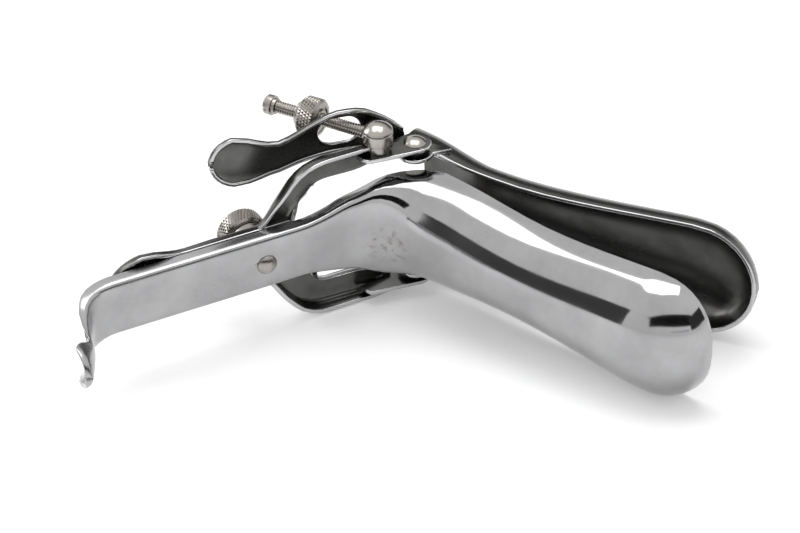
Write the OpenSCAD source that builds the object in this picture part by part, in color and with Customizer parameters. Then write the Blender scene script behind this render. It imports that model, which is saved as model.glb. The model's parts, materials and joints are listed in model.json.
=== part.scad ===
// Two-bladed vaginal speculum, pressed from stainless sheet, lying on its side.
// Worked in the lower blade's own lines: x runs out along the lower blade, y from the lower blade to the
// upper one, z to the side that carries the lever. lay() tips the whole thing on to the table.

/* [Blades] */
// from the outer corner of the heel to the tip of the lower blade
blade_len = 103; // [90:1:120]
// widest part of the lower blade, near the tip
blade_w = 36.6; // [32:0.2:40]
// narrowest part of the lower blade
waist_w = 29.4; // [26:0.2:31]
// wall height of the trough, outside
wall_h = 15.5; // [13:0.5:17]
// sheet thickness everywhere
sheet_t = 1.3; // [1:0.1:1.6]
// angle between the blades as they lie
open_now = 16; // [12:0.5:19]

/* [Handle] */
// width of the handle across its flanges
handle_w = 17.3; // [15:0.1:18.5]
// how far the handle leans back from square to the blade, degrees
lean = 22; // [18:0.5:26]
// straight length of the handle from the heel corner to the hook
handle_len = 79; // [70:1:88]
// depth of the handle flanges
flange_d = 4.5; // [3.5:0.1:5]
// distance of the clamp stud from the heel corner
stud_s = 34.5; // [32:0.5:42]

/* [Yoke] */
// half width over the yoke arms
yoke_half = 26.2; // [25.6:0.1:28]
// width of a yoke arm
arm_w = 9.4; // [8:0.1:9.8]
// distance of the hinge line above the heel corner
hinge_y = 14; // [12:0.5:16]
// how far the lower blade can slide down the tongue
slide_d = 8; // [6:1:9]
// half width of the thumb paddle
paddle_half = 11.4; // [10:0.2:13]

/* [Screws] */
// width of the adjusting screw
screw_d = 3.6; // [3:0.1:4]
// angle of the adjusting screw below the blade line
screw_dip = 13; // [11:0.5:16]
// free length of the adjusting screw from its eye
screw_len = 32; // [31:0.5:40]
// distance of the adjusting nut from the eye
nut_at = 17.7; // [17.7:0.1:20]
// width of the adjusting nut
adj_nut_d = 11.5; // [9:0.5:11.5]
// width of the clamp nut
clamp_nut_d = 14; // [12:0.5:16]

/* [Hidden] */
$fn = 64;
t = sheet_t;
turn = 90 - lean;                 // heel bend
heel_r = 16;
tl = heel_r * tan(turn / 2);      // tangent length of the heel bend
arc = heel_r * turn * PI / 180;
hd = [-sin(lean), -cos(lean)];    // down the handle
hn = [cos(lean), -sin(lean)];     // out of the handle's face
hinge = [1.4, hinge_y];
tip_l = arc + blade_len - tl;     // spine length of the blade tip
hstr = -(handle_len - tl);        // spine length where the hook starts
hook_l = 31.5;                      // length of sheet in the hook and spoon

// Curves
// smooth curve through knots [x, value]
function slope(k, i) = i == 0 ? (k[1][1] - k[0][1]) / (k[1][0] - k[0][0])
  : i == len(k) - 1 ? (k[i][1] - k[i - 1][1]) / (k[i][0] - k[i - 1][0])
  : (k[i][1] - k[i - 1][1]) * (k[i + 1][1] - k[i][1]) <= 0 ? 0
  : (k[i + 1][1] - k[i - 1][1]) / (k[i + 1][0] - k[i - 1][0]);
function span(k, x) = max([0, for (j = [0:len(k) - 2]) if (x >= k[j][0]) j]);
function curve(k, x0) =
  let (x = min(max(x0, k[0][0]), k[len(k) - 1][0]), i = span(k, x),
    h = k[i + 1][0] - k[i][0], s = (x - k[i][0]) / h)
  (2 * s ^ 3 - 3 * s ^ 2 + 1) * k[i][1] + (s ^ 3 - 2 * s ^ 2 + s) * h * slope(k, i)
  + (3 * s ^ 2 - 2 * s ^ 3) * k[i + 1][1] + (s ^ 3 - s ^ 2) * h * slope(k, i + 1);
// rounded closing from 1 at x = a to 0 at x = b, a quarter ellipse at e = 2
function round_off(x, a, b, e = 2) = x <= a ? 1 : max(0, 1 - ((x - a) / (b - a)) ^ e) ^ (1 / e);
// channel section: n = 2 is a half ellipse, larger n a flat floor with round corners
function sec(v, n) = let (p = 180 * v - 90, s = sin(p), c = cos(p))
  [sign(s) * abs(s) ^ (2 / n), 1 - abs(c) ^ (2 / n)];
function steps(a, b, n) = [for (i = [0:n - 1]) a + (b - a) * i / n];
function closing(a, b, n) = [for (i = [1:n]) a + (b - a) * sin(90 * i / n)];

// a bent sheet: f(l, v) is its outer face; k > 0 puts the thickness to the left of the grid
module sheet(f, ls, nv, k) {
  e = 0.01;
  nl = len(ls) - 1;
  w = nv + 1;
  outer = [for (l = ls) for (j = [0:nv]) f(l, j / nv)];
  inner = [for (i = [0:nl]) for (j = [0:nv]) let (l = ls[i], v = j / nv,
      a = f(l + (i < nl ? e : 0), v) - f(l - (i > 0 ? e : 0), v),
      b = f(l, min(1, v + e / 4)) - f(l, max(0, v - e / 4)), c = cross(a, b))
    f(l, v) + k * c / norm(c)];
  n = len(outer);
  function q(a, b, c, d) = k > 0 ? [[a, b, c], [a, c, d]] : [[c, b, a], [d, c, a]];
  faces = [for (i = [0:nl - 1]) for (j = [0:nv - 1]) let (a = i * w + j)
      each concat(q(a, a + w, a + w + 1, a + 1), q(n + a, n + a + 1, n + a + w + 1, n + a + w)),
    for (i = [0:nl - 1]) let (a = i * w, b = i * w + nv)
      each concat(q(a, n + a, n + a + w, a + w), q(b, b + w, n + b + w, n + b)),
    for (j = [0:nv - 1]) let (a = j, b = nl * w + j)
      each concat(q(a, a + 1, n + a + 1, n + a), q(b, n + b, n + b + 1, b + 1))];
  polyhedron(concat(outer, inner), faces, convexity = 8);
}

// joins sheet pieces into one
module welded() resize([0, 0, 0]) union() children();

// Placing
// it rests on the lower yoke arm, a line down the handle's direction, and the wall of the lower blade's tip
rest_arm = [hd[0] * 2 - hn[0] * 6, hd[1] * 2 - hn[1] * 6, -yoke_half - 0.27];
rest_tip = [blade_len - 12.8, wall_h, 0.1 - blade_w / 2];
down = let (c = cross(rest_tip - rest_arm, [hd[0], hd[1], 0])) c / norm(c) * (c[2] > 0 ? -1 : 1);
tip_axis = cross(down, [0, 0, -1]);
centre = [32.196, -23.529];
module lay() translate([-centre[0], -centre[1], down * rest_arm])
  rotate(asin(norm(tip_axis)), tip_axis) children();
// origin at the heel corner, x out of the handle's face, y up the handle, z across
module on_handle(s, o = 0, z = 0)
  translate([hd[0] * s + hn[0] * o, hd[1] * s + hn[1] * o, z]) rotate([0, 0, -lean]) children();
// z along the hinge line
module at_hinge() translate([hinge[0], hinge[1], 0]) children();
// a bar round the z axis, turned to point out of the handle's face
module out_of_face() rotate([0, 90, 0]) children();

// The lower blade
// the hook turns forward out of the handle, then back down into the spoon
function hook_turn(m) = curve([[0, 0], [3, 14], [13, 66], [16.5, 82], [18.5, 82], [22, 68], [34, 62]], m);
hook_step = 0.5;
hook_pts = [for (i = 0, p = hd * handle_len; i <= hook_l / hook_step + 1; i = i + 1,
    p = p + hook_step * (hd * cos(hook_turn(i * hook_step)) + hn * sin(hook_turn(i * hook_step)))) p];
function hook_at(m) = let (i = floor(m / hook_step), s = m / hook_step - i)
  hook_pts[i] * (1 - s) + hook_pts[i + 1] * s;
function bend(l) = l >= arc ? 0 : l >= 0 ? turn - l / heel_r * 180 / PI : l >= hstr ? turn
  : turn + hook_turn(hstr - l);
function spine(l) = l >= arc ? [tl + l - arc, 0]
  : l >= 0 ? [tl, -heel_r] + heel_r * [-sin(bend(l)), cos(bend(l))]
  : l >= hstr ? hd * (tl - l) : hook_at(min(hstr - l, hook_l));
tip_rise = 20;
function rise(l) = l < tip_l - tip_rise ? 0
  : (wall_h - 1.2) * (1 - round_off(l, tip_l - tip_rise, tip_l + 0.3));
h0 = hstr;
function low_half(l) = curve([[h0 - 26, 6.2], [h0 - 22.5, 5.4], [h0 - 18.5, 3], [h0 - 16, 3.4],
    [h0 - 10, handle_w / 2 - 0.6], [h0 - 3, handle_w / 2], [-13, handle_w / 2], [arc * 0.2, 12.2],
    [arc * 0.55, 15.4], [arc + 2, 16.4], [arc + 12, 16.2], [arc + 36, waist_w / 2],
    [arc + 76, blade_w / 2]], l)
  * round_off(l, tip_l - 15.5, tip_l + 0.02, 2.3) * round_off(-l, 25.5 - h0, hook_l - h0 + 0.02);
function low_deep(l) = curve([[h0 - 31, 2.2], [h0 - 25, 4.6], [h0 - 20.5, 2.6], [h0 - 18, 1],
    [h0 - 10, flange_d - 1.2], [h0, flange_d], [-12, flange_d], [arc * 0.3, 6.2],
    [arc * 0.7, 11.2], [arc, wall_h + 0.3], [arc + 16, wall_h + 0.1], [arc + 40, wall_h]], l);
function low_square(l) = curve([[h0 - 17, 2], [h0 - 4, 6], [-8, 6], [arc, 2.7], [arc + 20, 2.1]], l);
function low_face(l, v) = let (b = bend(l), s = sec(v, low_square(l)), r = rise(l),
    p = spine(l) + [-sin(b), cos(b)] * (r + (low_deep(l) - r) * s[1])) [p[0], p[1], low_half(l) * s[0]];
module lower_blade() color("silver") lay() difference() {
  sheet(function (l, v) low_face(l, v), concat(
      [for (i = [6:-1:1]) h0 - 25.5 - (hook_l - 25.5) * sin(15 * i)],
      steps(h0 - 25.5, h0 - 16, 6), steps(h0 - 16, h0, 8),
      steps(h0, -14, 3), steps(-14, 0, 4), steps(0, arc, 9), steps(arc, arc + 16, 5),
      steps(arc + 16, tip_l - 22, 8), steps(tip_l - 22, tip_l - 15.5, 3), closing(tip_l - 15.5, tip_l, 9)),
    20, -t);
  on_handle(stud_s) out_of_face() cylinder(d = 4.04, h = 10, center = true);
}

// The upper blade
// drawn closed, then turned about the hinge line
up_rim = wall_h + 0.5;
up_len = blade_len - 1.2;
up_deep = 13.5;
ear_in = 19.2;
function up_half(x) = curve([[-5, ear_in + t], [4, ear_in + t - 0.2], [18, waist_w / 2 + 2.4],
    [38, waist_w / 2 + 0.6], [up_len - 20, blade_w / 2 - 0.5]], x)
  * round_off(x, up_len - 17, up_len + 0.05);
function up_hgt(x) = curve([[-5, up_deep + 4.5], [6, up_deep + 2], [24, up_deep], [60, up_deep]], x);
function up_drop(x) = (up_deep - 0.8) * (1 - round_off(x, up_len - 24, up_len + 0.4));
function up_face(x, v) = let (s = sec(v, curve([[-5, 3], [20, 2.1]], x)), r = up_drop(x), h = up_hgt(x))
  [x, up_rim + h - r - (h - r) * s[1], up_half(x) * s[0]];
// the lever's own plane: r down it from the hinge, z across
lever_lean = 10;
lever_back = 6.3;
ldir = [-sin(lean + lever_lean), -cos(lean + lever_lean)];
lnrm = [cos(lean + lever_lean), -sin(lean + lever_lean)];
lever_r = 57.4;
function lev_mid(r) = curve([[1, 21.6], [4, 23.2], [8, 24.9], [14, 26.8], [20, 27.2], [26, 26.2], [33, 23.8],
    [38, 22.2], [43, 22.3], [50, 23], [58, 23.2]], r);
function lev_half(r) = curve([[1, 2.2], [4, 3.9], [8, 5.4], [14, 6.8], [20, 6.8], [27, 6], [33, 5.1],
    [38, 5], [43, 6.3], [48.6, 8.2]], r) * round_off(r, lever_r - 8.6, lever_r + 0.05);
function lev_face(r, v) = let (s = sec(v, 4.5), d = curve([[1, 1], [12, 2.2]], r),
    p = hinge + ldir * r + lnrm * (s[1] * d - lever_back - t)) [p[0], p[1], lev_mid(r) + lev_half(r) * s[0]];
hole_r = 20;
module upper_blade() color("silver") lay() at_hinge() rotate([0, 0, open_now])
  translate([-hinge[0], -hinge[1], 0]) difference() {
    welded() {
      sheet(function (x, v) up_face(x, v), concat(steps(-4, 24, 7), steps(24, up_len - 24, 7),
        steps(up_len - 24, up_len - 17, 3), closing(up_len - 17.01, up_len, 9)), 20, t);
      // the lever keeps its place against the handle, so it is set back by the opening
      at_hinge() rotate([0, 0, -open_now]) translate([-hinge[0], -hinge[1], 0])
        sheet(function (r, v) lev_face(r, v), concat(steps(1, lever_r - 8.6, 17),
          closing(lever_r - 8.61, lever_r, 7)), 12, -t);
      for (z = [ear_in, -ear_in - t]) translate([0, 0, z]) linear_extrude(t) union() {
        translate(hinge) circle(5.2);
        polygon([hinge + [-5, 1], hinge + [-5.3, 5], hinge + [9, 5], hinge + [5, 1]]);
      }
      translate([0, 0, ear_in]) linear_extrude(t) at_hinge() rotate(-open_now)
        polygon([-3 * ldir - lnrm * (lever_back + 0.6), 9 * ldir - lnrm * (lever_back + 0.6),
          4.4 * ldir + lnrm * 2, -2 * ldir + lnrm * 2]);
    }
    at_hinge() cylinder(d = 4.1, h = 60, center = true);
    at_hinge() rotate([0, 0, -open_now - lean - lever_lean])
      translate([-lever_back, -hole_r, lev_mid(hole_r)]) rotate([0, 90, 0])
      for (k = [-2, 2]) translate([0, k, 0]) cylinder(d = 8.2, h = 12, center = true);
    at_hinge() rotate([0, 0, -open_now - lean - lever_lean])
      translate([-lever_back - 6, -hole_r - 2, lev_mid(hole_r) - 4.1]) cube([12, 4, 8.2]);
  }

// The yoke frame
rim_o = -(flange_d + 0.4);          // front edges of the tongue's flanges, just behind the handle's
floor_o = rim_o - 2;                // front face of the tongue's floor
tongue_half = handle_w / 2 + 0.1;
function on_face(s, o, z) = [hd[0] * s + hn[0] * o, hd[1] * s + hn[1] * o, z];
function tongue_half_at(s) = curve([[20, tongue_half], [56, tongue_half], [67, paddle_half]], s)
  * round_off(s, 67, 78.55);
function tongue_face(s, v) = let (q = sec(v, curve([[50, 6], [66, 3]], s)),
    back = curve([[56, floor_o - t], [66, floor_o - t - 0.8], [80, floor_o - t - 1.6]], s),
    front = curve([[56, rim_o], [64, rim_o + 0.3], [72, rim_o], [80, rim_o - 1.4]], s))
  on_face(s, back + (front - back) * q[1], tongue_half_at(s) * q[0]);
arm_path = [[33, 4.2], [28.2, 8.6], [23.9, 14.8], [19, yoke_half - 6.2], [12.5, yoke_half - arm_w / 2],
    [5, yoke_half - arm_w / 2], [-1.5, yoke_half - 4], [-9, yoke_half - 3]];
function arm_s(u) = curve([for (i = [0:7]) [i, arm_path[i][0]]], u);
function arm_z(u) = curve([for (i = [0:7]) [i, arm_path[i][1]]], u);
function arm_half(u) = curve([[0, arm_w / 2 - 0.4], [2, arm_w / 2], [5, arm_w / 2], [6, 4], [7, 1.8]], u);
function arm_face(u, v) = let (d = [arm_s(u + 0.01) - arm_s(u - 0.01), arm_z(u + 0.01) - arm_z(u - 0.01)],
    m = [-d[1], d[0]] / norm(d), q = sec(v, 2.7), w = arm_half(u) * q[0],
    back = curve([[0, floor_o - t], [2, -8.9], [5, -8.6], [7, -7.4]], u),
    // the outer wall stands forward, the inner edge rolls back
    front = curve(v > 0.5 ? [[0, rim_o], [1.2, rim_o - 0.4], [2.4, -9.4], [3.8, -8.4], [5, -8.2], [7, -7]]
      : [[0, rim_o], [1, rim_o], [2, -3.4]], u))
  on_face(arm_s(u) + m[0] * w, back + (front - back) * q[1], arm_z(u) + m[1] * w);
tab_z = ear_in + t + 1.6;           // inner face of the hinge tabs
hinge_s = hinge * hd;
hinge_o = hinge * hn;
post_s = -2.6;
post_o = -5.2;
module arm() sheet(function (u, v) arm_face(u, v), steps(0, 7.01, 22), 10, -t);
module frame() color("silver") lay() difference() {
  welded() {
    sheet(function (s, v) tongue_face(s, v),
      concat(steps(25, 56, 4), steps(56, 67, 5), closing(66.99, 78.5, 9)), 16, -t);
    arm();
    mirror([0, 0, 1]) arm();
    for (m = [0, 1]) mirror([0, 0, m]) translate([0, 0, tab_z]) linear_extrude(t) union() {
      translate(hinge) circle(4.6);
      polygon([for (c = [[hinge_s, 4.6], [2, 2.6], [4, -1.5], [hinge_s, -4.6]])
        hd * c[0] + hn * (hinge_o + c[1])]);
    }
  }
  at_hinge() cylinder(d = 4, h = 60, center = true);
  on_handle(0) translate([0, -stud_s, 0]) out_of_face() {
    cylinder(d = 4.6, h = 30, center = true);
    translate([0, -slide_d, 0]) cylinder(d = 4.6, h = 30, center = true);
    translate([-2.3, -slide_d, -15]) cube([4.6, slide_d, 30]);
  }
  on_handle(post_s, post_o, tab_z + t) cylinder(d = 7.2, h = 8);
}

// The hinge rivets
module hinge_rivet() at_hinge() {
  translate([0, 0, ear_in - 0.2]) cylinder(d = 4, h = tab_z + t - ear_in + 0.2);
  translate([0, 0, ear_in - 1.2]) cylinder(d = 6, h = 1);
  translate([0, 0, tab_z + t]) intersection() {
    cylinder(d = 6.4, h = 1.3);
    translate([0, 0, -3.6]) sphere(d = 9.8);
  }
}
module hinge_rivet_up() color("gainsboro") lay() hinge_rivet();
module hinge_rivet_down() color("gainsboro") lay() mirror([0, 0, 1]) hinge_rivet();

// The clamp
collar_o = floor_o - t - 0.95;      // front face of the clamp collar
boss = 4.2;
nut_h = 6;
module clamp_stud() color("gainsboro") lay() on_handle(stud_s) out_of_face() {
  translate([0, 0, collar_o - boss - nut_h - 4.4]) cylinder(d = 4, h = boss + nut_h + 4.4 - collar_o);
  intersection() {
    cylinder(d = 5.8, h = 1.8);
    translate([0, 0, -1.9]) sphere(d = 7.2);
  }
}
module clamp_collar() color("gainsboro") lay() on_handle(stud_s, collar_o) out_of_face()
  rotate([180, 0, 0]) difference() {
  union() {
    cylinder(d = 11.4, h = boss - 0.6);
    translate([0, 0, boss - 0.6]) cylinder(d1 = 11.4, d2 = 10.6, h = 0.6);
    cylinder(d = 8, h = boss + nut_h + 0.6);
    translate([0, 0, boss + nut_h + 0.5]) cylinder(d = 10, h = 1);
  }
  translate([0, 0, -1]) cylinder(d = 4.08, h = 30);
}
module knurled(d, h, bore) difference() {
  union() {
    cylinder(d1 = d - 1.2, d2 = d, h = 0.6);
    translate([0, 0, 0.6]) cylinder(d = d, h = h - 1.2);
    translate([0, 0, h - 0.6]) cylinder(d1 = d, d2 = d - 1.2, h = 0.6);
  }
  translate([0, 0, -1]) cylinder(d = bore, h = h + 2);
}
module clamp_nut() color("gainsboro") lay() on_handle(stud_s, collar_o - boss - 0.25) out_of_face()
  rotate([180, 0, 0]) knurled(clamp_nut_d, nut_h, 8.1);

// The adjusting screw
screw_up = 4.65;
screw_z = tab_z + t + screw_up;     // height of the screw's line
post_at = [hd[0] * post_s + hn[0] * post_o, hd[1] * post_s + hn[1] * post_o];
module at_post() translate([post_at[0], post_at[1], screw_z]) children();
// z out along the screw from its eye
module on_screw() at_post() rotate([0, 0, screw_dip]) rotate([0, -90, 0]) children();
module screw_post() color("gainsboro") lay() at_post() {
  translate([0, 0, -screw_up]) cylinder(d = 6.8, h = screw_up - 1.9);
  translate([0, 0, -screw_up]) cylinder(d = 3.4, h = screw_up + 2);
  translate([0, 0, 1.9]) intersection() {
    cylinder(d = 8.4, h = 2.2);
    translate([0, 0, -3.6]) sphere(d = 11.6);
  }
}
module adjusting_screw() color("gainsboro") lay() difference() {
  union() {
    at_post() translate([0, 0, -1.7]) cylinder(d = 8.6, h = 3.4);
    on_screw() translate([0, 0, 3]) cylinder(d = screw_d, h = screw_len - 3);
  }
  at_post() cylinder(d = 3.5, h = 20, center = true);
}
module stop_cap() color("gainsboro") lay() on_screw() translate([0, 0, screw_len]) difference() {
  union() {
    cylinder(d = 4.6, h = 1);
    translate([0, 0, 1]) intersection() {
      cylinder(d = 5.8, h = 2.6);
      sphere(d = 7);
    }
  }
  translate([-0.45, -5, 2.2]) cube([0.9, 10, 3]);
}
module adjusting_collar() color("gainsboro") lay() on_screw() translate([0, 0, nut_at]) difference() {
  union() {
    cylinder(d = 5.4, h = 7.2);
    translate([0, 0, 6.2]) cylinder(d = 7, h = 1);
  }
  translate([0, 0, -1]) cylinder(d = screw_d + 0.08, h = 12);
}
module adjusting_nut() color("gainsboro") lay() on_screw() translate([0, 0, nut_at + 0.3])
  knurled(adj_nut_d, 5.6, 5.5);

frame();
lower_blade();
upper_blade();
hinge_rivet_up();
hinge_rivet_down();
clamp_stud();
clamp_collar();
clamp_nut();
screw_post();
adjusting_screw();
adjusting_collar();
adjusting_nut();
stop_cap();
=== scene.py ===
# %% [markdown]
# # A pressed-steel speculum, dressed for its portrait
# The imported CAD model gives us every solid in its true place. Here we give those solids what a CAD file
# leaves out: softly rounded edges, smooth shading, screw threads, knurling and the finishes of real
# stainless steel. Blender counts in metres, in the same frame as the CAD, and MM turns a length in
# millimetres into metres.

# %% Load the frame
import math
import bmesh
import bpy
from mathutils import Matrix, Vector
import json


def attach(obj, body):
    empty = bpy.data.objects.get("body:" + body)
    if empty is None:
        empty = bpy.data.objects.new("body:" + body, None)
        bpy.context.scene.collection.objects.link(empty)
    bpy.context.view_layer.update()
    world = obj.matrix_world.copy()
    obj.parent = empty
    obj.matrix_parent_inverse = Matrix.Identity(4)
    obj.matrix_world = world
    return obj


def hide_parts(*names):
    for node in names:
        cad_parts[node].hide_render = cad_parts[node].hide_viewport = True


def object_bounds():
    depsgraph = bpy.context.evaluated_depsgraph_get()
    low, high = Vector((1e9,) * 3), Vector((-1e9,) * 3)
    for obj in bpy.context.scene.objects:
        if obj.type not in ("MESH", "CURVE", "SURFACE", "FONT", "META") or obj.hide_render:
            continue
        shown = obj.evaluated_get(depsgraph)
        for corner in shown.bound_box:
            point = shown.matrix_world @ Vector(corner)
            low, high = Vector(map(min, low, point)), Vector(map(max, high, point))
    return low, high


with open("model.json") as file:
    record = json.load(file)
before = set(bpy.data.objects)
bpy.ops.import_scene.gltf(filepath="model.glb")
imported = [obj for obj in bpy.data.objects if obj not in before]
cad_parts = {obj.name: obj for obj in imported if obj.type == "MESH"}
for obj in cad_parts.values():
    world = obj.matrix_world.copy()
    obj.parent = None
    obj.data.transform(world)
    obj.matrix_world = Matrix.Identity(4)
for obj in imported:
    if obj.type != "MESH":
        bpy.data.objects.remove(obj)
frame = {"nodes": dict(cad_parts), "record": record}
cad_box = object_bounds()
scene = bpy.context.scene
scene.view_settings.view_transform = "Standard"
MM = 0.001
white = (1.0, 1.0, 1.0, 1.0)
print("CAD box, mm:", [[round(c / MM, 1) for c in corner] for corner in cad_box])

# %% [markdown]
# ## The camera
# The photograph was taken from above the handle's side, through a long lens: parallel edges hardly
# converge. A long focal length far away gives the same look. We place the camera with the three axes it
# should have, right, up and backwards, which says the angle exactly and needs no tracking constraint.

# %% Place the camera
lens = bpy.data.cameras.new("portrait_camera")
lens.lens = 110.58
lens.sensor_width = 36.0
lens.clip_end = 10.0
camera = bpy.data.objects.new("portrait_camera", lens)
scene.collection.objects.link(camera)
right = Vector((0.753417, 0.655486, -0.051971))
up = Vector((-0.314895, 0.429065, 0.846607))
back = Vector((0.577238, -0.621483, 0.529674))
stand = Vector((373.82, -405.86, 382.38)) * MM
camera.matrix_world = Matrix.Translation(stand) @ Matrix((right, up, back)).transposed().to_4x4()
scene.camera = camera
print("camera stands", round(stand.length, 3), "m from the middle of the table")

# %% [markdown]
# ## The room
# Polished steel has almost no colour of its own: what we see on it is the room. The photograph has a white
# sweep below and behind, and a darker room in front, and the long dark and light bands on the blades
# are those two. A photographed surround could give this too, but a plain white world is easier to
# control. It is full white to the camera and to reflections, and a little lower where it lights dull
# surfaces such as the table.

# %% A helper for node trees
def wire(tree, kind, inputs=None, **settings):
    """Adds a node, sets its properties, and fills or links its inputs by name."""
    made = tree.nodes.new(kind)
    for name, value in settings.items():
        setattr(made, name, value)
    for name, value in (inputs or {}).items():
        if isinstance(value, bpy.types.NodeSocket):
            tree.links.new(value, made.inputs[name])
        else:
            made.inputs[name].default_value = value
    return made


def seen_directly(tree):
    """1 for rays of the camera, of reflections and of glass, 0 for the light that falls on things."""
    path = wire(tree, "ShaderNodeLightPath")
    first = wire(tree, "ShaderNodeMath", {0: path.outputs["Is Camera Ray"], 1: path.outputs["Is Glossy Ray"]},
                 operation="MAXIMUM")
    both = wire(tree, "ShaderNodeMath", {0: first.outputs[0], 1: path.outputs["Is Transmission Ray"]},
                operation="MAXIMUM")
    return both.outputs[0]


# %% The white surroundings
room = bpy.data.worlds.new("white_room")
scene.world = room
room.use_nodes = True
tree = room.node_tree
tree.nodes.clear()
strength = wire(tree, "ShaderNodeMapRange", {"Value": seen_directly(tree), "To Min": 0.75, "To Max": 1.0})
glow = wire(tree, "ShaderNodeBackground", {"Color": white, "Strength": strength.outputs[0]})
wire(tree, "ShaderNodeOutputWorld", {"Surface": glow.outputs[0]})
print("world ready")

# %% [markdown]
# ## The table
# The instrument lies on a white sheet that has no visible edge. A bent backdrop is the studio's way. A
# very large disc does the same here, since the world behind it is as white. Its paint takes the shadow,
# and a little added light, which only the camera and reflections see, brings the rest up to white.

# %% The pale floor
floor_coat = bpy.data.materials.new("pale_floor")
floor_coat.use_nodes = True
tree = floor_coat.node_tree
tree.nodes.clear()
paint = wire(tree, "ShaderNodeBsdfDiffuse", {"Color": (0.86, 0.86, 0.865, 1.0)})
added_light = 0.22
lift = wire(tree, "ShaderNodeMath", {0: seen_directly(tree), 1: added_light}, operation="MULTIPLY")
shine = wire(tree, "ShaderNodeEmission", {"Color": white, "Strength": lift.outputs[0]})
both = wire(tree, "ShaderNodeAddShader", {0: paint.outputs[0], 1: shine.outputs[0]})
wire(tree, "ShaderNodeOutputMaterial", {"Surface": both.outputs[0]})

bm = bmesh.new()
bmesh.ops.create_circle(bm, cap_ends=True, segments=64, radius=6.0)
sweep = bpy.data.meshes.new("table")
bm.to_mesh(sweep)
bm.free()
table = bpy.data.objects.new("table", sweep)
table.location.z = cad_box[0][2] - 0.1 * MM
sweep.materials.append(floor_coat)
scene.collection.objects.link(table)
print("floor at", round(table.location.z / MM, 2), "mm")

# %% [markdown]
# ## Dark cards
# A mirror needs something dark to show, or its form is lost in white. Studio photographers hang black
# cards just outside the picture. We do the same with planes that only reflections can see, so that they
# cast no shadow and take no light away. Their places decide where the dark bands run.

# %% A helper that hangs a card
middle = (0.0, 0.0, 0.03)


def card(name, centre, size, grey):
    """A card that only reflections see, turned to the part. size is its width and height in metres."""
    coat = bpy.data.materials.new(name)
    coat.use_nodes = True
    coat.node_tree.nodes.clear()
    dull = wire(coat.node_tree, "ShaderNodeEmission", {"Color": (grey, grey, grey, 1.0), "Strength": 1.0})
    wire(coat.node_tree, "ShaderNodeOutputMaterial", {"Surface": dull.outputs[0]})
    bm = bmesh.new()
    bmesh.ops.create_grid(bm, x_segments=1, y_segments=1, size=0.5)
    bmesh.ops.scale(bm, verts=bm.verts, vec=(size[0], size[1], 1.0))
    facing = (Vector(middle) - Vector(centre)).to_track_quat("Z", "Y").to_matrix().to_4x4()
    bmesh.ops.transform(bm, matrix=Matrix.Translation(centre) @ facing, verts=bm.verts)
    mesh = bpy.data.meshes.new(name)
    bm.to_mesh(mesh)
    bm.free()
    mesh.materials.append(coat)
    panel = bpy.data.objects.new(name, mesh)
    scene.collection.objects.link(panel)
    panel.visible_camera = False
    panel.visible_diffuse = False
    panel.visible_shadow = False
    print(name, "hangs", centre)


# %% The six cards
card("card_front", (0.9, -1.0, 0.66), (2.6, 0.62), 0.015)
card("card_camera", (0.46, -0.50, 0.30), (0.30, 0.22), 0.012)
card("card_low", (1.15, -0.75, 0.14), (0.9, 0.03), 0.12)
card("card_left", (-0.9, -0.9, 0.35), (1.0, 0.7), 0.08)
card("card_right", (1.4, 0.3, 0.4), (1.2, 0.6), 0.05)
card("card_back", (-0.5, 1.3, 0.5), (1.4, 0.6), 0.06)

# %% [markdown]
# ## Lamps
# The light in the photograph is soft, with only a faint shadow under the blades. One small lamp would draw
# a hard shadow and a burnt spot on the steel. Two large area lamps, one overhead and one at the side, each
# turned to the middle of the part, spread both.

# %% Soft lamps
def softbox(name, centre, size, watts):
    """A large rectangular lamp that looks at the middle of the part."""
    light = bpy.data.lights.new(name, "AREA")
    light.shape = "RECTANGLE"
    light.size, light.size_y = size
    light.energy = watts
    lamp = bpy.data.objects.new(name, light)
    lamp.location = centre
    lamp.rotation_euler = (Vector(middle) - Vector(centre)).to_track_quat("-Z", "Y").to_euler()
    scene.collection.objects.link(lamp)
    print(name, watts, "W")


softbox("overhead_lamp", (-0.1, 0.15, 0.9), (0.7, 0.5), 3.6)
softbox("side_lamp", (-0.75, -0.25, 0.55), (0.35, 0.5), 1.7)

# %% [markdown]
# ## Finishes
# Stainless steel is a metal shader at full metallic. What tells one finish from another is its roughness
# and its grain. The lower blade is buffed, so it mirrors softly, with faint lines along the way the wheel
# ran. Its handle, the upper blade and the yoke are satin, from a belt. A scanned texture could show
# this, but it would need an unwrapped surface. Noise in the piece's own space needs none: drawn out fifty
# times along one direction it feeds the bump as grain, and slow noise moves the roughness and tint a
# little, as fingers and years of boiling do.
# The upper blade and the yoke also get a steel colour far darker than real steel: painted shade that stands
# in for the dark reflections on them.

# %% Noise for wear and for grain
def slow_noise(tree, where, scale):
    """Noise from 0 to 1 with the given number of patches in a metre."""
    made = wire(tree, "ShaderNodeTexNoise", {"Vector": where, "Scale": scale, "Detail": 4.0,
                                             "Roughness": 0.55})
    spread = wire(tree, "ShaderNodeMapRange", {"Value": made.outputs["Fac"], "From Min": 0.3,
                                               "From Max": 0.7})
    return spread.outputs[0]


def drawn_noise(tree, where, heading, scale, stretch=0.02):
    """Noise drawn out into lines that run along a heading in degrees on the table."""
    along = wire(tree, "ShaderNodeMapping", {"Vector": where, "Rotation": (0.0, 0.0, math.radians(-heading)),
                                             "Scale": (stretch, 1.0, 1.0)})
    made = wire(tree, "ShaderNodeTexNoise", {"Vector": along.outputs[0], "Scale": scale, "Detail": 3.0,
                                             "Roughness": 0.6})
    return made.outputs["Fac"]


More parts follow.
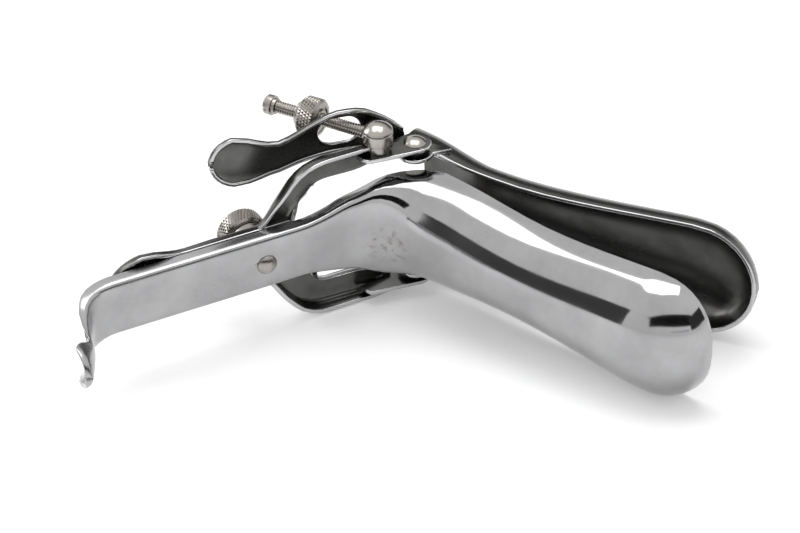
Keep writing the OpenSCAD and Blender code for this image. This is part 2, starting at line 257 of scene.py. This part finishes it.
# %% Blends between two finishes
def blend_values(tree, factor, first, second):
    """A number that goes from first to second as factor goes from 0 to 1."""
    made = wire(tree, "ShaderNodeMix", {"Factor": factor}, data_type="FLOAT")
    for place, value in ((2, first), (3, second)):
        if isinstance(value, bpy.types.NodeSocket):
            tree.links.new(value, made.inputs[place])
        else:
            made.inputs[place].default_value = value
    return made.outputs[0]


def blend_colours(tree, factor, first, second):
    """A colour that goes from first to second as factor goes from 0 to 1."""
    made = wire(tree, "ShaderNodeMix", {"Factor": factor}, data_type="RGBA")
    for place, value in ((6, first), (7, second)):
        if isinstance(value, bpy.types.NodeSocket):
            tree.links.new(value, made.inputs[place])
        else:
            made.inputs[place].default_value = (*value, 1.0)
    return made.outputs[2]


# %% Brown film and brown pits
brown = (0.20, 0.14, 0.09)


def brown_film(tree, where, stain):
    """How much of the brown film lies on the steel: fine specks, stain at the most."""
    specks = wire(tree, "ShaderNodeTexNoise", {"Vector": where, "Scale": 900.0, "Detail": 2.0,
                                               "Roughness": 0.5})
    film = wire(tree, "ShaderNodeMapRange", {"Value": specks.outputs["Fac"], "From Min": 0.60,
                                             "From Max": 0.74, "To Min": 0.0, "To Max": stain})
    return film.outputs[0]


def brown_pits(tree, where, centre, reach):
    """How deep in a brown pit a place is: dots that fade out at reach from the centre."""
    near = wire(tree, "ShaderNodeVectorMath", {0: where, 1: centre}, operation="DISTANCE")
    patch = wire(tree, "ShaderNodeMapRange", {"Value": near.outputs["Value"], "From Min": 0.35 * reach,
                                              "From Max": reach, "To Min": 1.0, "To Max": 0.0})
    dots = wire(tree, "ShaderNodeTexNoise", {"Vector": where, "Scale": 480.0, "Detail": 2.0,
                                             "Roughness": 0.5})
    dotted = wire(tree, "ShaderNodeMapRange", {"Value": dots.outputs["Fac"], "From Min": 0.50,
                                               "From Max": 0.72})
    pits = wire(tree, "ShaderNodeMath", {0: patch.outputs[0], 1: dotted.outputs[0]}, operation="MULTIPLY")
    return pits.outputs[0]


# %% The steel recipe
grain_scale = 5200.0
scuff_scale = 1500.0
scuff_turn = 31.0
scuff_depth = 0.10
grain_height = 0.01 * MM


def steel(name, light, dark, rough, heading, grain, stain, zone=None, spotted=None):
    """A worn stainless finish. zone gives a second heading, roughness and grain past a plane, for a piece
    whose far half was ground another way: (plane normal, start, end, heading, rough, grain). spotted is the
    middle and reach of a patch of brown pits: ((x, y, z), reach)."""
    coat = bpy.data.materials.new(name)
    coat.use_nodes = True
    tree = coat.node_tree
    tree.nodes.clear()
    where = wire(tree, "ShaderNodeTexCoord").outputs["Object"]
    clouds = slow_noise(tree, where, 75.0)
    colour = blend_colours(tree, clouds, dark, light)
    colour = blend_colours(tree, brown_film(tree, where, stain), colour, brown)
    pits = None
    if spotted:
        pits = brown_pits(tree, where, *spotted)
        colour = blend_colours(tree, pits, colour, brown)
    lines = drawn_noise(tree, where, heading, grain_scale)
    roughness = blend_values(tree, clouds, rough[1], rough[0])
    depth = grain
    if zone:
        plane, start, end, other_heading, other_rough, other_grain = zone
        far = wire(tree, "ShaderNodeVectorMath", {0: where, 1: plane}, operation="DOT_PRODUCT")
        past = wire(tree, "ShaderNodeMapRange", {"Value": far.outputs["Value"], "From Min": start,
                                                 "From Max": end}, interpolation_type="SMOOTHSTEP").outputs[0]
        lines = blend_values(tree, past, lines, drawn_noise(tree, where, other_heading, grain_scale))
        other_roughness = blend_values(tree, clouds, other_rough[1], other_rough[0])
        roughness = blend_values(tree, past, roughness, other_roughness)
        depth = blend_values(tree, past, grain, other_grain)
    crossing = drawn_noise(tree, where, heading + scuff_turn, scuff_scale, 0.04)
    cuts = wire(tree, "ShaderNodeMapRange", {"Value": crossing, "From Min": 0.68, "From Max": 0.78})
    scuffed = wire(tree, "ShaderNodeMath", {0: cuts.outputs[0], 1: scuff_depth}, operation="MULTIPLY")
    roughness = wire(tree, "ShaderNodeMath", {0: roughness, 1: scuffed.outputs[0]},
                     operation="ADD").outputs[0]
    height = wire(tree, "ShaderNodeMath", {0: lines, 1: scuffed.outputs[0]}, operation="SUBTRACT").outputs[0]
    if pits:
        roughness = wire(tree, "ShaderNodeMath", {0: pits, 1: 0.25, 2: roughness},
                         operation="MULTIPLY_ADD").outputs[0]
    bump = wire(tree, "ShaderNodeBump", {"Height": height, "Strength": depth, "Distance": grain_height})
    metal = wire(tree, "ShaderNodeBsdfPrincipled", {"Base Color": colour, "Metallic": 1.0,
                                                    "Roughness": roughness, "Normal": bump.outputs[0]})
    wire(tree, "ShaderNodeOutputMaterial", {"Surface": metal.outputs[0]})
    return coat


# %% The buffed lower blade, satin on its handle, with a patch of pits on the heel
down_handle = (-0.374607, -0.927184, 0.0)
handle_heading = -112.0
satin_rough = (0.20, 0.30)
handle_zone = (down_handle, 2.0 * MM, 16.0 * MM, handle_heading, satin_rough, 0.9)
heel_patch = ((-0.0285, 0.0224, 0.0235), 7.5 * MM)
buffed = steel("buffed_steel", (0.43, 0.43, 0.435), (0.34, 0.34, 0.345), (0.07, 0.14), 0.0, grain=0.25,
               stain=0.06, zone=handle_zone, spotted=heel_patch)
print(buffed.name, len(buffed.node_tree.nodes), "nodes")

# %% The satin with painted shade, the turned steel and the bright rim
# The satin's base colours are far darker than real steel: painted shade for the dark reflections on the upper
# blade and the yoke.
satin_with_painted_shade = steel("satin_steel_with_painted_shade", (0.14, 0.14, 0.135), (0.075, 0.075, 0.072), satin_rough, handle_heading,
              grain=0.8, stain=0.15)
turned = steel("turned_steel", (0.42, 0.40, 0.37), (0.28, 0.26, 0.235), satin_rough, 90.0, grain=0.4,
               stain=0.5)
rim_shine = steel("bright_rim", (0.58, 0.58, 0.585), (0.44, 0.44, 0.445), (0.10, 0.18), 0.0, grain=0.2,
                  stain=0.03)
print("finishes:", [m.name for m in (satin_with_painted_shade, turned, rim_shine)])

# %% [markdown]
# ## From a CAD node to a finished piece
# The CAD solids have the right shape, but sharp edges and flat facets. We could model every piece again.
# It is safer to take a copy of each, weld its loose triangles into one skin and round what is sharp,
# because the size and the place are then right from the start. Smooth shading carries the reflections
# over the facets, and weighted normals keep the broad faces calm.

# %% Which body carries which node
body_of = {node: body for body, nodes in frame["record"]["behaviour"]["bodies"].items() for node in nodes}
print(body_of)


# %% A helper that makes an object of a bmesh
def finish_piece(name, bm, coats, body):
    """Turns a bmesh into an object with its coats, riding on a body."""
    mesh = bpy.data.meshes.new(name)
    bm.to_mesh(mesh)
    bm.free()
    for coat in coats:
        mesh.materials.append(coat)
    piece = bpy.data.objects.new(name, mesh)
    scene.collection.objects.link(piece)
    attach(piece, body)
    print(name, len(mesh.polygons), "faces")
    return piece


# %% A helper that copies and welds a CAD node
touching = 0.002 * MM


def welded_copy(node):
    """A bmesh of a CAD node with its loose triangles joined, and pairs of them made quads again."""
    bm = bmesh.new()
    bm.from_mesh(frame["nodes"][node].data)
    bmesh.ops.remove_doubles(bm, verts=bm.verts, dist=touching)
    bmesh.ops.dissolve_degenerate(bm, dist=touching, edges=bm.edges)
    bmesh.ops.join_triangles(bm, faces=bm.faces, angle_face_threshold=math.radians(12),
                             angle_shape_threshold=math.radians(50))
    for f in bm.faces:
        f.material_index = 0
    return bm


# %% A helper that breaks the edges of a turned piece
sharp_turn = math.radians(38.0)


def has_room(edge, width):
    """True where every edge round both ends is long enough for a bevel of that width."""
    return all(near.calc_length() > 1.25 * width for v in edge.verts for near in v.link_edges)


def break_edges(bm, width):
    """Rounds every edge that turns sharply and has room, then smooths the shading."""
    sharp = [e for e in bm.edges if len(e.link_faces) == 2 and e.calc_face_angle(0.0) > sharp_turn]
    for e in sharp:
        e.smooth = False
    roomy = [e for e in sharp if has_room(e, width)]
    for e in roomy:
        e.smooth = True
    bmesh.ops.bevel(bm, geom=roomy, offset=width, offset_type="OFFSET", affect="EDGES", segments=3,
                    profile=0.5, clamp_overlap=False, material=-1)
    for f in bm.faces:
        f.smooth = True


# %% [markdown]
# ## The cut edge of a sheet
# A pressed blade is a sheet 1.3 mm thick, and its cut edge is filed round and polished by years of
# handling. A bevel is the first idea, but on a long curved strip it spikes where many short edges meet.
# So we find the strips instead: faces that sharp edges fence in, about as wide as the sheet is thick.
# Each strip sinks a little, is inset and lifts back, which leaves a rounded rim. It gets the bright
# finish.

# %% A helper that finds the cut edges
narrowest_cut = 0.752 * MM
widest_cut = 1.6 * MM


def smooth_island(seed, seen):
    """All faces that can be reached from seed without crossing a sharp edge."""
    island, reach = [seed], [seed]
    seen.add(seed)
    while reach:
        for e in reach.pop().edges:
            for f in e.link_faces if e.smooth else ():
                if f not in seen:
                    seen.add(f)
                    island.append(f)
                    reach.append(f)
    return island


def narrow_strips(bm):
    """The cut edges of a sheet: islands of faces whose mean width is about the sheet's thickness."""
    seen, strips = set(), []
    for seed in bm.faces:
        if seed in seen:
            continue
        island = smooth_island(seed, seen)
        fence = sum(e.calc_length() for f in island for e in f.edges if not e.smooth)
        if fence and narrowest_cut < 2 * sum(f.calc_area() for f in island) / fence < widest_cut:
            strips.append(island)
    return strips


# %% A helper that rounds the cut edges
sunk_part = 0.6


def round_sheet_edges(bm, width):
    """Rounds the cut edges of a sheet: sinks each strip a little, then insets it and lifts it back."""
    drop = sunk_part * width
    for e in bm.edges:
        e.smooth = len(e.link_faces) != 2 or e.calc_face_angle(0.0) < sharp_turn
    strips = narrow_strips(bm)
    pushes = {}
    for strip in strips:
        for f in strip:
            f.material_index = 1
            for v in f.verts:
                pushes[v] = pushes.get(v, Vector()) + f.normal * f.calc_area()
    for v, push in pushes.items():
        v.co -= push.normalized() * drop
    bmesh.ops.inset_region(bm, faces=[f for strip in strips for f in strip], thickness=width, depth=drop,
                           use_boundary=True, use_even_offset=False)
    fences = {v for f in bm.faces if f.material_index == 1 for v in f.verts}
    for e in bm.edges:
        if e.verts[0] in fences and e.verts[1] in fences:
            e.smooth = True
    for f in bm.faces:
        f.smooth = True
    print("rounded", len(strips), "cut edges")


# %% [markdown]
# ## The tips of the blades
# A real blade's rim runs round its tip without a break. The CAD sheets meet there with a slit less than
# 3 mm wide between them. A patch over it would leave two seams. The two lips are mirror twins, so it is
# simpler to take out the slit's walls, draw both lips to the plane between them and weld them there.

# %% A helper that closes the slit in a tip
hinge_line = (0.091031, -0.036779, 0.995169)
slit_half = (1.4 * MM, 2.2 * MM, 1.7 * MM)
lips_meet = 0.12 * MM


def close_slit(bm, middle):
    """Draws the lips of the small slit in a blade's tip together along the hinge line, and welds them."""
    along = Vector(hinge_line)
    lips = [v for v in bm.verts if abs(v.co.x - middle.x) < slit_half[0]
            and abs(v.co.y - middle.y) < slit_half[1] and abs((v.co - middle).dot(along)) < slit_half[2]
            and any(e.calc_face_angle(0.0) > sharp_turn for e in v.link_edges)]
    walls = [f for f in bm.faces if all(v in lips for v in f.verts)]
    bmesh.ops.delete(bm, geom=walls, context="FACES")
    lips = [v for v in lips if v.is_valid]
    for v in lips:
        v.co -= along * (v.co - middle).dot(along)
    bmesh.ops.remove_doubles(bm, verts=lips, dist=lips_meet)
    kept = {v for v in lips if v.is_valid}
    seam = [e for e in bm.edges if e.verts[0] in kept or e.verts[1] in kept]
    bmesh.ops.dissolve_degenerate(bm, edges=seam, dist=touching)
    uneven = sum(len(e.link_faces) != 2 for e in bm.edges)
    print("closed a slit:", len(lips), "lip points,", len(walls), "wall faces,", uneven, "uneven edges")


# %% A helper that puts the steps together
def calm_normals(piece):
    """Lets the broad faces decide how the narrow ones beside them are shaded."""
    calm = piece.modifiers.new("calm_normals", "WEIGHTED_NORMAL")
    calm.keep_sharp = True


def dress(node, coats, width, pressed=False, slit=None):
    """A finished stand-in for a CAD node, made from the node's own shape."""
    bm = welded_copy(node)
    if slit:
        close_slit(bm, Vector(slit))
    if pressed:
        round_sheet_edges(bm, width)
    else:
        break_edges(bm, width)
    piece = finish_piece("finished_" + node, bm, coats, body_of[node])
    calm_normals(piece)
    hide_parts(node)


# %% [markdown]
# ## The lower blade
# Blade, heel, handle, hook and spoon are one pressing. The blade is buffed like a mirror, the handle is
# satin where a hand holds it, and one finish with a zone covers both without a seam.

# %% The lower blade with its handle and hook
blade_rim = 0.32 * MM
dress("lower_blade", [buffed, rim_shine], blade_rim, pressed=True,
      slit=(0.06975, 0.0374, 0.01693))

# %% [markdown]
# ## The upper blade
# The upper blade carries the thumb lever. In the photograph its inside looks almost black, because it
# faces a dark room, so its steel colour is painted darker here than the lower blade's: painted shade for
# those dark reflections.

# %% The upper blade with its lever
dress("upper_blade", [satin_with_painted_shade, rim_shine], blade_rim, pressed=True,
      slit=(0.0637, 0.0685, 0.01855))

# %% [markdown]
# ## The yoke
# The yoke is the frame that both blades hang on: a slotted tongue, two arms and two tabs for the hinge.
# It is pressed from the same sheet, so it takes the same steps, with a slightly tighter rim.

# %% The yoke frame
yoke_rim = 0.30 * MM
# The yoke wears the satin coat, whose dark colour is painted shade for the dark reflections on its arms.
dress("frame", [satin_with_painted_shade, rim_shine], yoke_rim, pressed=True)

# %% [markdown]
# ## Turned parts
# Rivets, collars, the post and the end cap came off a lathe, so they keep crisp, evenly rounded edges. A
# plain bevel does that well, because their edges are clean circles. Their steel has a thin brown film in
# fine specks, as old turned parts do.

# %% Rivets, post, collars and end cap
lathe_edge = 0.12 * MM
for node in ("hinge_rivet_up", "hinge_rivet_down", "screw_post", "clamp_collar", "adjusting_collar",
             "stop_cap"):
    dress(node, [turned], lathe_edge)


# %% A helper that stands a turned piece on its line
def stand_along(bm, foot, line):
    """Moves a piece made on the Z axis so that it starts at foot and runs along line."""
    turn = Vector(line).to_track_quat("Z", "X").to_matrix().to_4x4()
    bmesh.ops.transform(bm, matrix=Matrix.Translation(Vector(foot) * MM) @ turn, verts=bm.verts)


# %% Where the screw stands, in millimetres
screw_eye = (-33.4667, 26.8466, 54.1780)
screw_line = (-0.970701, -0.226434, 0.080425)
print("the screw's eye is", round(screw_eye[2], 1), "mm above the table")

# %% [markdown]
# ## Threads
# A screw thread is one tooth swept up a helix. In Blender the spin operator does it: a tooth profile one
# pitch high, spun with a small lift at each step, closes on its own next turn. Two bisects trim the bar
# to length. This gives real crests for the light to catch, which a bump map can't do in a silhouette.

# %% A helper that cuts a threaded bar
steps_a_turn = 20


def threaded_bar(bm, radius, pitch, depth, start, stop):
    """Adds a threaded bar on the Z axis from start to stop, all in millimetres."""
    root = radius - depth
    tooth = [(root, 0.0), (root, 0.12), (radius, 0.46), (radius, 0.60), (root, 1.0)]
    chain = [bm.verts.new((r * MM, 0.0, (start + (h - 1.5) * pitch) * MM)) for r, h in tooth]
    edges = [bm.edges.new(pair) for pair in zip(chain, chain[1:])]
    turns = math.ceil((stop - start) / pitch) + 3
    rise = pitch * MM / steps_a_turn
    bmesh.ops.spin(bm, geom=chain + edges, cent=(0, 0, 0), axis=(0, 0, 1), dvec=(0, 0, rise),
                   angle=turns * math.tau, steps=turns * steps_a_turn, use_merge=False)
    bmesh.ops.remove_doubles(bm, verts=bm.verts, dist=2 * touching)
    for height, away in ((start, "clear_inner"), (stop, "clear_outer")):
        every = bm.verts[:] + bm.edges[:] + bm.faces[:]
        cut = bmesh.ops.bisect_plane(bm, geom=every, plane_co=(0, 0, height * MM), plane_no=(0, 0, 1),
                                     **{away: True})
        ring = [e for e in cut["geom_cut"] if isinstance(e, bmesh.types.BMEdge)]
        bmesh.ops.holes_fill(bm, edges=ring, sides=0)
    bmesh.ops.recalc_face_normals(bm, faces=bm.faces)


# %% The rod of the adjusting screw
bm = bmesh.new()
threaded_bar(bm, radius=1.8, pitch=0.75, depth=0.38, start=2.6, stop=32.0)
stand_along(bm, screw_eye, screw_line)
print("threaded rod:", len(bm.faces), "faces")

# %% The eye of the adjusting screw: a ring that turns on the post
eye_radius, eye_bore, eye_thick = 4.3, 1.75, 3.4
eye_edge = 0.3 * MM
eye = bmesh.new()
bmesh.ops.create_cone(eye, cap_ends=False, segments=48, radius1=eye_radius * MM, radius2=eye_radius * MM,
                      depth=eye_thick * MM)
outer = [e for e in eye.edges if e.is_boundary]
inner = bmesh.ops.extrude_edge_only(eye, edges=outer)["geom"]
ring = [v for v in inner if isinstance(v, bmesh.types.BMVert)]
bmesh.ops.scale(eye, verts=ring, vec=(eye_bore / eye_radius, eye_bore / eye_radius, 1.0))
bmesh.ops.bridge_loops(eye, edges=[e for e in eye.edges if e.is_boundary])
bmesh.ops.recalc_face_normals(eye, faces=eye.faces)
break_edges(eye, eye_edge)
stand_along(eye, screw_eye, hinge_line)
print("eye:", len(eye.faces), "faces")

# %% Rod and eye become one piece
eye_mesh = bpy.data.meshes.new("eye")
eye.to_mesh(eye_mesh)
eye.free()
bm.from_mesh(eye_mesh)
for f in bm.faces:
    f.smooth = True
rod = finish_piece("adjusting_rod", bm, [turned], "screw")
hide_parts("adjusting_screw")

# %% [markdown]
# ## The clamp stud
# The stud is a turned rivet through the handle, and the clamp nut runs on it. Collar and nut cover most of
# it, so it is left without a thread and takes the same steps as the other turned parts.

# %% The clamp stud
dress("clamp_stud", [turned], lathe_edge)

# %% [markdown]
# ## Knurled nuts
# A knurl is rolled into the rim: two sets of slanted grooves leave rows of little diamonds, for wet
# fingers to grip. A bump map would leave the outline smooth, so we model it: we cut a tube into cells,
# twist it so that the cells lean, and poke every cell outwards to a point. Two chamfers and a bore
# close the ring.

# %% A helper that rolls the knurled band
def knurled_band(bm, root, height, band, teeth, rows, depth):
    """Fills bm with a knurled tube on the Z axis, and gives back the edges of its two open ends."""
    bmesh.ops.create_cone(bm, cap_ends=False, segments=teeth, radius1=root * MM, radius2=root * MM,
                          depth=band * MM)
    bmesh.ops.translate(bm, verts=bm.verts, vec=(0, 0, height / 2 * MM))
    upright = [e for e in bm.edges if not e.is_boundary]
    bmesh.ops.subdivide_edges(bm, edges=upright, cuts=rows - 1, use_grid_fill=True)
    lean = math.pi / teeth * rows / (band * MM)
    for v in bm.verts:
        v.co.rotate(Matrix.Rotation(lean * v.co.z, 3, "Z"))
    rings = [e for e in bm.edges if e.is_boundary]
    cells = bm.faces[:]
    lower_ring = [e for e in rings if e.verts[0].co.z < height / 2 * MM]
    upper_ring = [e for e in rings if e.verts[0].co.z > height / 2 * MM]
    bmesh.ops.poke(bm, faces=cells, offset=depth * MM)
    return lower_ring, upper_ring


# %% A helper that makes the whole nut
def knurled_nut(radius, bore, height, teeth, rows, depth, chamfer):
    """A knurled ring on the Z axis, from 0 up to height, all in millimetres. bore is a diameter."""
    bm = bmesh.new()
    root = radius - depth
    shoulder = root - chamfer
    lower_ring, upper_ring = knurled_band(bm, root, height, height - 2 * chamfer, teeth, rows, depth)
    ends = []
    for ring, way in ((lower_ring, -1), (upper_ring, 1)):
        for reach, lift in ((shoulder / root, chamfer), (bore / 2 / shoulder, 0.0)):
            made = bmesh.ops.extrude_edge_only(bm, edges=ring)["geom"]
            verts = [v for v in made if isinstance(v, bmesh.types.BMVert)]
            ring = [e for e in made if isinstance(e, bmesh.types.BMEdge)]
            bmesh.ops.scale(bm, verts=verts, vec=(reach, reach, 1.0))
            bmesh.ops.translate(bm, verts=verts, vec=(0, 0, way * lift * MM))
        ends += ring
    bmesh.ops.bridge_loops(bm, edges=ends)
    bmesh.ops.recalc_face_normals(bm, faces=bm.faces)
    for f in bm.faces:
        f.smooth = abs(f.normal.z) > 0.9
    return bm


# %% The clamp nut on its stud
stud_line = (-0.922704, 0.372797, 0.098181)
clamp_nut_foot = (-57.6687, -3.3888, 27.0883)
nut = knurled_nut(radius=7.0, bore=8.1, height=6.0, teeth=46, rows=5, depth=0.42, chamfer=0.5)
stand_along(nut, clamp_nut_foot, stud_line)
big_nut = finish_piece("knurled_clamp_nut", nut, [turned], "nut")
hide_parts("clamp_nut")

# %% The adjusting nut on its screw
nut_from_eye = 18.0
nut = knurled_nut(radius=5.75, bore=5.5, height=5.6, teeth=40, rows=5, depth=0.36, chamfer=0.45)
stand_along(nut, Vector(screw_eye) + nut_from_eye * Vector(screw_line), screw_line)
small_nut = finish_piece("knurled_adjusting_nut", nut, [turned], "screw_nut")
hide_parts("adjusting_nut")

# %% [markdown]
# ## Sizes
# Dressing a part mustn't change its size.

# %% Finish
import json
